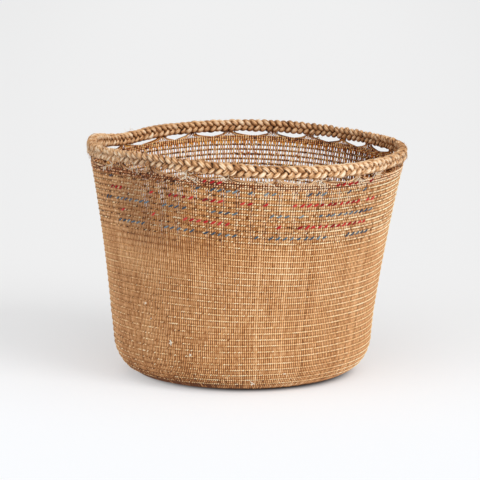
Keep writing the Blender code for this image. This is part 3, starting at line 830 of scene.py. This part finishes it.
# Plaited rim
# Three thick bundles of grass, plaited round the rim with the ends of the warps worked in. Each bundle
# swings up and down and twice as often in and out, which lays one over the other on both faces.
PLAIT_TURNS = 48
PLAIT_STEPS = 18
PLAIT_SWING = 3.75 * MM
PLAIT_WEAVE = 2.15 * MM
BUNDLE_HALF = 2.5 * MM
BUNDLE_SIDES = 22
BUNDLE_GROOVE = 0.16
BUNDLE_VARIETY = 0.18
BUNDLE_CUTS = 12
BUNDLE_STREAK = 1.2 * MM
RISE = 4.5 * MM
RISE_ANGLE = math.radians(172)
RISE_REACH = math.radians(14)
DIP = 1.5 * MM
DIP_ANGLE = math.radians(143)
DIP_REACH = math.radians(10)
PLAIT_GIRTH = {"all": 1.0, "wander": 0.08, "rise": 0.12}
# Paleness of a bundle's crest, a painted highlight
PLAIT_CREST_TONE = 0.92
# Towards the right of the front the plait takes a painted highlight, where the key light falls
PLAIT_TONE = {"all": -0.22, "wander": 0.15, "right_front": 0.2, "right_end": -0.16, "left_front": 0.1,
              "back": 0.05, "rise": 0.03}
RIGHT_FRONT = -50
LEFT_FRONT = 200
PLAIT_TONES = ((0.0, "#28120A"), (0.35, "#AC7341"), (0.65, "#E9BA88"), (1.0, "#FFEACB"))
plait_grass = dried_grass("grass_bundles", PLAIT_TONES, strips=3 * BUNDLE_CUTS, run=76 * MM, gloss=0.4,
                          streak=BUNDLE_STREAK, contrast=1.0, inside_tint="#FFFFFF")
angle = np.arange(PLAIT_TURNS * PLAIT_STEPS) * TURN / (PLAIT_TURNS * PLAIT_STEPS)
# On the left the plait rides up in a hump and dips behind it
rise = bell(angle - RISE_ANGLE, RISE_REACH)
dip = bell(angle - DIP_ANGLE, DIP_REACH)
for strand, title in enumerate("abc"):
    phase = -PLAIT_TURNS * angle + strand * TURN / 3
    girth = weighed(PLAIT_GIRTH, all=1.0, wander=drift(angle * 5, angle, 70 + strand, 9, 1.0), rise=rise)
    radius = PLAIT_RADIUS + PLAIT_WEAVE * np.sin(2 * phase)
    height = NECK_HEIGHT + PLAIT_HEIGHT / 2 + PLAIT_SWING * girth * np.sin(phase)
    height = height + RISE * rise - DIP * dip
    middle = place(angle, radius, height)
    along = unit(np.roll(middle, -1, axis=0) - np.roll(middle, 1, axis=0))
    out = np.stack([np.cos(angle), np.sin(angle), np.zeros_like(angle)], axis=-1)
    across = unit(np.cross(along, out))
    out = np.cross(across, along)
    turn_round = np.arange(BUNDLE_SIDES) * TURN / BUNDLE_SIDES
    ridge = 1.0 - BUNDLE_GROOVE * (np.arange(BUNDLE_SIDES) % 2)
    section = np.stack([ridge * np.cos(turn_round), ridge * np.sin(turn_round)], axis=-1)
    fibre = np.random.default_rng(80 + strand).normal(0.0, BUNDLE_VARIETY, BUNDLE_SIDES)
    # Painted light and shade: the crest, which faces away from the bundles beside it, is painted pale, and
    # the rest darker, as the shade between the bundles
    beside = np.sin(2 * phase)[:, None] * np.sin(turn_round)
    above = -0.85 * np.sin(phase)[:, None] * np.cos(turn_round)
    crest = np.clip(np.maximum(beside, above), 0.0, 1.0) ** 0.7
    tone = weighed(PLAIT_TONE, all=1.0, wander=drift(angle * 9, angle, 90 + strand, 9, 1.0), rise=rise,
                   back=np.sin(angle), right_front=towards(angle, RIGHT_FRONT) ** 5,
                   right_end=towards(angle, RIGHT) ** 12, left_front=towards(angle, LEFT_FRONT) ** 2)
    tone = tone[:, None] + PLAIT_CREST_TONE * crest + fibre
    half = (BUNDLE_HALF * girth)[:, None]
    piece = strand_mesh(f"plait_bundle_{title}", middle[None], (across * half)[None], (out * half)[None],
                        section, tone[None], plait_grass, ring=True, cuts=BUNDLE_CUTS)
    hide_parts(f"plait_strand_{title}")


# Wool stitches
# Short slanting stitches of red and blue wool yarn, wrapped over the weft outside only, every third warp.
# They are worn and broken, so each row shows in groups of stitches with bare weft between.
STITCHES = 132
STITCH_LENGTH = 5.5 * MM
STITCH_HALF_HEIGHT = 1.0 * MM
STITCH_HALF_DEPTH = 0.6 * MM
STITCH_SLANT = math.radians(32)
STITCH_STEPS = 8
STITCH_STRAY = 0.0025
SLANT_STRAY = 0.12
STITCH_SIZES = (0.8, 1.15)
STITCH_TAPER = 0.85
STITCH_TONES = (0.15, 0.85)
BACK_DEGREES = 175
BACK_WAVE = 0.31
BACK_CHANCE = 0.5
BACK_LEAST = 0.1
STITCH_RAISE = 1.75 * MM
STITCH_DROP = 1.1 * MM
STITCH_RADIUS = RIM_RADIUS - 6.0 * MM
EDGE_YARN_DROP = 1.6 * MM
HAIR_GRAIN = 0.7 * MM
NAP_DEPTH = 0.15 * MM
RED_TONES = ((0.0, "#6A0C0E"), (0.5, "#B91C1C"), (1.0, "#D9584A"))
BLUE_TONES = ((0.0, "#263548"), (0.5, "#476172"), (1.0, "#90A0A6"))


def wool(name, tones):
    """Old wool yarn, loosely spun: faded unevenly, quite matt, with a soft sheen from its loose hairs."""
    look, tree, shader = new_look(name, {"Metallic": 0.0, "Roughness": 0.9, "Specular IOR Level": 0.2,
                                         "Sheen Weight": 0.2})
    place_object = add_node(tree, "ShaderNodeTexCoord")
    hairs = add_node(tree, "ShaderNodeTexNoise", {"Scale": 1.0 / HAIR_GRAIN, "Detail": 2.0},
                     {"Vector": place_object.outputs["Object"]})
    own = add_node(tree, "ShaderNodeAttribute", {"attribute_name": "tone"})
    mixed = add_node(tree, "ShaderNodeMath", {"operation": "MULTIPLY_ADD", 1: 0.5},
                     {0: hairs.outputs["Fac"], 2: own.outputs["Fac"]})
    faded = add_node(tree, "ShaderNodeMath", {"operation": "SUBTRACT", 1: 0.25},
                     {0: mixed.outputs["Value"]})
    colour = add_node(tree, "ShaderNodeValToRGB", {"ramp": tones}, {"Fac": faded.outputs["Value"]})
    tree.links.new(colour.outputs["Color"], shader.inputs["Base Color"])
    nap = add_node(tree, "ShaderNodeBump", {"Strength": 0.6, "Distance": NAP_DEPTH},
                   {"Height": hairs.outputs["Fac"]})
    tree.links.new(nap.outputs["Normal"], shader.inputs["Normal"])
    return look


def stitch_paths(spans, length_of, seed, yarn):
    """Middle lines, widths, depths and tones of a row of stitches, each a low arc over the weft.

    An arc is a slanting line whose height falls towards its ends with the fourth power of the way there.
    spans are the degrees between which stitches are left in front. The back keeps those where a slow wave
    with some chance in it is high. yarn is the thickness of the yarn, as a share of the thickest.
    """
    rng = np.random.default_rng(seed)
    spot = np.arange(STITCHES)
    angle = (spot + 0.5) * TURN / STITCHES + rng.normal(0.0, STITCH_STRAY, STITCHES)
    degrees = np.degrees(angle)[:, None]
    spans = np.array(spans)[None]
    kept = ((degrees > spans[..., 0]) & (degrees < spans[..., 1])).any(axis=1)
    chance = np.sin(spot * BACK_WAVE + seed) + rng.normal(0.0, BACK_CHANCE, STITCHES)
    kept |= (degrees[:, 0] < BACK_DEGREES) & (chance > BACK_LEAST)
    angle = angle[kept][:, None]
    along = np.linspace(-1.0, 1.0, STITCH_STEPS)[None, :]
    size = rng.uniform(*STITCH_SIZES, angle.shape) * STITCH_LENGTH / 2
    slant = STITCH_SLANT + rng.normal(0.0, SLANT_STRAY, angle.shape)
    length = length_of(angle) + along * size * np.sin(slant)
    bend = angle + along * size * np.cos(slant) / STITCH_RADIUS
    outward = weave_middle(length) + STITCH_RAISE - STITCH_DROP * along ** 4
    around, up, out = skin_frame(bend, length)
    across = up * np.cos(slant)[..., None] - around * np.sin(slant)[..., None]
    girth = yarn * np.sqrt(1.0 - STITCH_TAPER * along ** 4)[..., None]
    tone = np.repeat(rng.uniform(*STITCH_TONES, angle.shape), STITCH_STEPS, axis=1)
    middle = skin_point(bend, length, outward)
    return middle, across * girth * STITCH_HALF_HEIGHT, out * girth * STITCH_HALF_DEPTH, tone


def weft_row_length(turn_back):
    """Length of the weft at any angle, for the turn that ends this many turns below the spiral's top."""
    def at(angle):
        spot = ((angle - SEAM_ANGLE) / TURN) % 1.0
        return turn_length(WEFT_TURNS - turn_back + spot, spot)
    return at


def edge_length(angle):
    """Length of the upper row of the edge band, where the highest row of wool is worked."""
    return length_at(EDGE_HEIGHT) - EDGE_YARN_DROP + 0.0 * angle


RED_ROWS = (
    ("red_yarn_high", edge_length, ((254, 262), (304, 315), (318, 322))),
    ("red_yarn_middle", weft_row_length(3), ((211, 217), (231, 234), (240, 250), (253, 262), (268, 273),
                                             (276, 279), (287, 315), (318, 324))),
    ("red_yarn_low", weft_row_length(7), ((216, 219), (231, 234), (246, 265), (281, 284), (288, 322))),
)
BLUE_ROWS = (
    ("blue_yarn_high", weft_row_length(1), ((209, 213), (250, 254), (256, 264), (265, 267), (270, 273),
                                            (276, 281), (291, 301), (307, 310), (316, 319))),
    ("blue_yarn_middle", weft_row_length(5), ((206, 209), (214, 233), (237, 248), (256, 266), (277, 286),
                                              (288, 292), (298, 325))),
    ("blue_yarn_low", weft_row_length(9), ((213, 230), (238, 252), (253, 261), (263, 267), (272, 275),
                                           (277, 286), (287, 304), (312, 324))),
)
for dye, rows, tones, yarn in (("red", RED_ROWS, RED_TONES, 1.0), ("blue", BLUE_ROWS, BLUE_TONES, 0.75)):
    paths = [stitch_paths(spans, length_of, 60 + n, yarn) for n, (node, length_of, spans) in enumerate(rows)]
    middle, across, out, tone = (np.concatenate([path[i] for path in paths]) for i in range(4))
    yarn_look = wool(f"{dye}_wool_yarn", tones)
    piece = strand_mesh(f"{dye}_stitches", middle, across, out, FLAT_STEM, tone, yarn_look)
    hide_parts(*[node for node, length_of, spans in rows])


# Loose fibres
# Grass that has worn loose: short hairs all round the plait, most of them on its left and right, frayed ends
# of warps at some gathers, pale as straw, and a few specks of lint caught in the weave.
HAIRS = 1400
HAIR_STEPS = 6
# Middle and spread, in degrees, of the hairs on the left and right, and the shares of hairs up to each
HAIRS_LEFT = (-150.0, 22.0)
HAIRS_RIGHT = (-30.0, 16.0)
HAIR_SHARES = (0.55, 0.75)
HAIR_HEIGHTS = (205.5, 217.0)
HAIR_SIZES = (1.5, 4.5)
HAIR_CURL = 0.9
HAIR_TONES = (0.4, 0.9)
SPOT_SIZES = (2.5, 6.0)
HAIR_HALF = 0.11 * MM
HAIR_LIFT = 0.45
HAIR_FOOT = 0.3 * MM
PLAIT_BELLY = 3.6 * MM
THICKER = (1.0, 3.4, 3.74)
PALER = (0.0, 0.35, 0.0)
LINT_TONE = 1.1
STRAW_TONES = ((0.0, "#8E6238"), (0.5, "#CDA77C"), (1.0, "#F4EADA"))
# Each tuft or speck is an angle in degrees, a height in millimetres, a number of fibres and their size
TUFTS = ((-112.0, 203.0, 9, 1.6), (-109.0, 199.0, 6, 1.2), (-46.0, 201.0, 10, 1.5), (-63.0, 202.0, 8, 1.4),
         (-133.0, 203.0, 8, 1.2), (-146.0, 203.5, 8, 1.1), (-152.0, 200.0, 6, 1.1), (-83.0, 202.0, 7, 1.4),
         (-98.0, 202.0, 7, 1.4), (-72.0, 201.5, 6, 1.2), (-37.0, 203.0, 8, 1.2), (63.0, 204.0, 8, 1.0),
         (140.0, 204.0, 10, 1.1), (12.0, 203.0, 9, 1.0))
LINT = ((-134.7, 78.4, 8, 0.3), (-131.9, 65.7, 4, 0.22), (-121.7, 46.5, 12, 0.4), (-112.8, 36.5, 7, 0.3),
        (-85.1, 10.8, 12, 0.4), (-71.1, 19.2, 4, 0.25), (35.0, 60.0, 6, 0.3), (120.0, 42.0, 6, 0.3),
        (165.0, 88.0, 6, 0.3))
rng = np.random.default_rng(17)
chance = rng.random(HAIRS)
left_ones, right_ones = rng.normal(*HAIRS_LEFT, HAIRS), rng.normal(*HAIRS_RIGHT, HAIRS)
any_ones = rng.uniform(-180.0, 180.0, HAIRS)
other_angle = np.where(chance < HAIR_SHARES[1], right_ones, any_ones)
hair_angle = np.where(chance < HAIR_SHARES[0], left_ones, other_angle)
hair_height = rng.uniform(*HAIR_HEIGHTS, HAIRS)
spots = TUFTS + LINT
spot_angle = np.concatenate([rng.normal(a, 0.8 * min(size, 1.0), n) for a, z, n, size in spots])
spot_height = np.concatenate([rng.normal(z, 0.9 * min(size * 2, 1.0), n) for a, z, n, size in spots])
spot_size = np.concatenate([np.full(n, size) for a, z, n, size in spots])
kind = np.repeat([0, 1, 2], [HAIRS, sum(tuft[2] for tuft in TUFTS), sum(speck[2] for speck in LINT)])
angle = np.radians(np.concatenate([hair_angle, spot_angle]))[:, None]
height = np.concatenate([hair_height, spot_height])[:, None] * MM
hair_size = rng.uniform(*HAIR_SIZES, HAIRS)
size = np.concatenate([hair_size, rng.uniform(*SPOT_SIZES, len(spot_size)) * spot_size])[:, None] * MM
heading = rng.uniform(0.0, TURN, angle.shape)
curl = rng.normal(0.0, HAIR_CURL, angle.shape)
step = np.linspace(0.0, 1.0, HAIR_STEPS)[None, :]
turned = heading + curl * step
belly = np.clip((height - NECK_HEIGHT) / PLAIT_HEIGHT, 0.0, 1.0)
# Fibres start on the round of the plait, or just off the skin below it, and lift away as they run
start = PLAIT_RADIUS + PLAIT_BELLY * np.sin(math.pi * belly) ** 0.5
start = np.where(height < NECK_HEIGHT, skin_radius(height) + HAIR_FOOT, start)
radius = start + HAIR_LIFT * size * step
aside, upward = size * step * np.cos(turned), size * step * np.sin(turned)
middle = place(angle + aside / RIM_RADIUS, radius, height + upward)
out = np.stack([np.cos(angle), np.sin(angle), 0.0 * angle], axis=-1)
across = unit(np.cross(out, np.gradient(middle, axis=1)))
half = HAIR_HALF * np.array(THICKER)[kind][:, None, None] * (1.3 - step)[..., None]
tone = rng.uniform(*HAIR_TONES, len(angle)) + np.array(PALER)[kind]
tone = np.repeat(np.where(kind == 2, LINT_TONE, tone)[:, None], HAIR_STEPS, axis=1)
straw = dried_grass("loose_straw", STRAW_TONES, strips=len(angle), run=4 * MM, gloss=0.3, streak=2 * MM)
section = [(1.0, 0.0), (0.0, -1.0), (-1.0, 0.0), (0.0, 1.0)]
piece = strand_mesh("loose_fibres", middle, across * half, out * half, section, tone, straw)


# Ground, light and camera
# A pale plain floor that glows a little, as painted light, a soft low light on the right, a little in front,
# a broad one high in front, and pale light all round.
# Near the basket the paper is painted a little cool, against the warm light that the basket throws on it
PAPER_NEAR = "#BBBEC2"
PAPER_FAR = "#C3C3C3"
# The paper's glow is painted light: less behind the basket and none under it
PAPER_GLOW = 0.5
# At the sides the paper is painted dimmer, as the light falls off
PAPER_SIDE = "#F6F6F6"
PAPER_HALF = 12.0
GLOW_RADIUS = 106.0 * MM
GLOW_FAR = 0.72
NEAR_END = -0.25
FAR_END = 0.3
SIDE_START = 0.15
SIDE_END = 0.7
# Strength, width, elevation and azimuth from the front in degrees, and colour
SUNS = {"key_light": (1.3, 32, 28, 48, (1.0, 0.985, 0.96)), "fill_light": (1.15, 70, 58, 0, (1.0, 1.0, 1.0))}
SKY_STRENGTH = 0.44
SKY_COLOUR = "#FCFDFF"
CAMERA_DISTANCE = 2.7
CAMERA_ELEVATION = math.radians(10.2)
CAMERA_AIM_HEIGHT = 105.0 * MM
CAMERA_LENS = 214.65
CAMERA_SHIFT = (-0.015, 0.041)
CAMERA_REACH = 60.0


def ground_paper(name):
    """Matt white paper that glows as painted light, less behind the basket and not under it, and is
    painted dimmer at the sides.
    """
    look, tree, shader = new_look(name, {"Roughness": 0.95, "Specular IOR Level": 0.0})
    place_object = add_node(tree, "ShaderNodeTexCoord")
    reach = add_node(tree, "ShaderNodeVectorMath", {"operation": "LENGTH"},
                     {0: place_object.outputs["Object"]})
    glow = add_node(tree, "ShaderNodeMapRange",
                    {"interpolation_type": "SMOOTHSTEP", "From Min": FLOOR_RADIUS, "From Max": GLOW_RADIUS,
                     "To Max": PAPER_GLOW}, {"Value": reach.outputs["Value"]})
    parts = add_node(tree, "ShaderNodeSeparateXYZ", links={"Vector": place_object.outputs["Object"]})
    away = add_node(tree, "ShaderNodeMapRange",
                    {"interpolation_type": "SMOOTHSTEP", "From Min": NEAR_END, "From Max": FAR_END},
                    {"Value": parts.outputs["Y"]})
    colour = add_node(tree, "ShaderNodeValToRGB", {"ramp": ((0.0, PAPER_NEAR), (1.0, PAPER_FAR))},
                      {"Fac": away.outputs["Result"]})
    nearer = add_node(tree, "ShaderNodeMapRange", {"To Min": 1.0, "To Max": GLOW_FAR},
                      {"Value": away.outputs["Result"]})
    lit = add_node(tree, "ShaderNodeMath", {"operation": "MULTIPLY"},
                   {0: glow.outputs["Result"], 1: nearer.outputs["Result"]})
    tree.links.new(lit.outputs["Value"], shader.inputs["Emission Strength"])
    beside = add_node(tree, "ShaderNodeMath", {"operation": "ABSOLUTE"}, {0: parts.outputs["X"]})
    wide = add_node(tree, "ShaderNodeMapRange",
                    {"interpolation_type": "SMOOTHSTEP", "From Min": SIDE_START, "From Max": SIDE_END},
                    {"Value": beside.outputs["Value"]})
    dimmed = add_node(tree, "ShaderNodeMix",
                      {"data_type": "RGBA", "blend_type": "MULTIPLY", 7: linear(PAPER_SIDE)},
                      {"Factor": wide.outputs["Result"], 6: colour.outputs["Color"]})
    tree.links.new(dimmed.outputs[2], shader.inputs["Base Color"])
    return look


floor_mesh = bpy.data.meshes.new("floor")
corners = [(-PAPER_HALF, -PAPER_HALF, 0), (PAPER_HALF, -PAPER_HALF, 0), (PAPER_HALF, PAPER_HALF, 0),
           (-PAPER_HALF, PAPER_HALF, 0)]
floor_mesh.from_pydata(corners, [], [(0, 1, 2, 3)])
floor_mesh.materials.append(ground_paper("white_paper"))
floor = add_object("floor", floor_mesh)

for name, (strength, width, elevation, azimuth, colour) in SUNS.items():
    lamp = bpy.data.lights.new(name, "SUN")
    lamp.energy = strength
    lamp.angle = math.radians(width)
    lamp.color = colour
    light = add_object(name, lamp)
    light.rotation_euler = (math.radians(90 - elevation), 0.0, math.radians(azimuth))
world = bpy.data.worlds.new("studio")
world.use_nodes = True
world.node_tree.nodes["Background"].inputs["Color"].default_value = linear(SKY_COLOUR)
world.node_tree.nodes["Background"].inputs["Strength"].default_value = SKY_STRENGTH
bpy.context.scene.world = world
bpy.context.scene.view_settings.view_transform = "Standard"

lens = bpy.data.cameras.new("camera")
lens.sensor_width = 36.0
lens.lens = CAMERA_LENS
lens.shift_x, lens.shift_y = CAMERA_SHIFT
lens.clip_end = CAMERA_REACH
camera = add_object("camera", lens)
camera.location = (0.0, -CAMERA_DISTANCE * math.cos(CAMERA_ELEVATION),
                   CAMERA_AIM_HEIGHT + CAMERA_DISTANCE * math.sin(CAMERA_ELEVATION))
camera.rotation_euler = (math.pi / 2 - CAMERA_ELEVATION, 0.0, 0.0)
bpy.context.scene.camera = camera
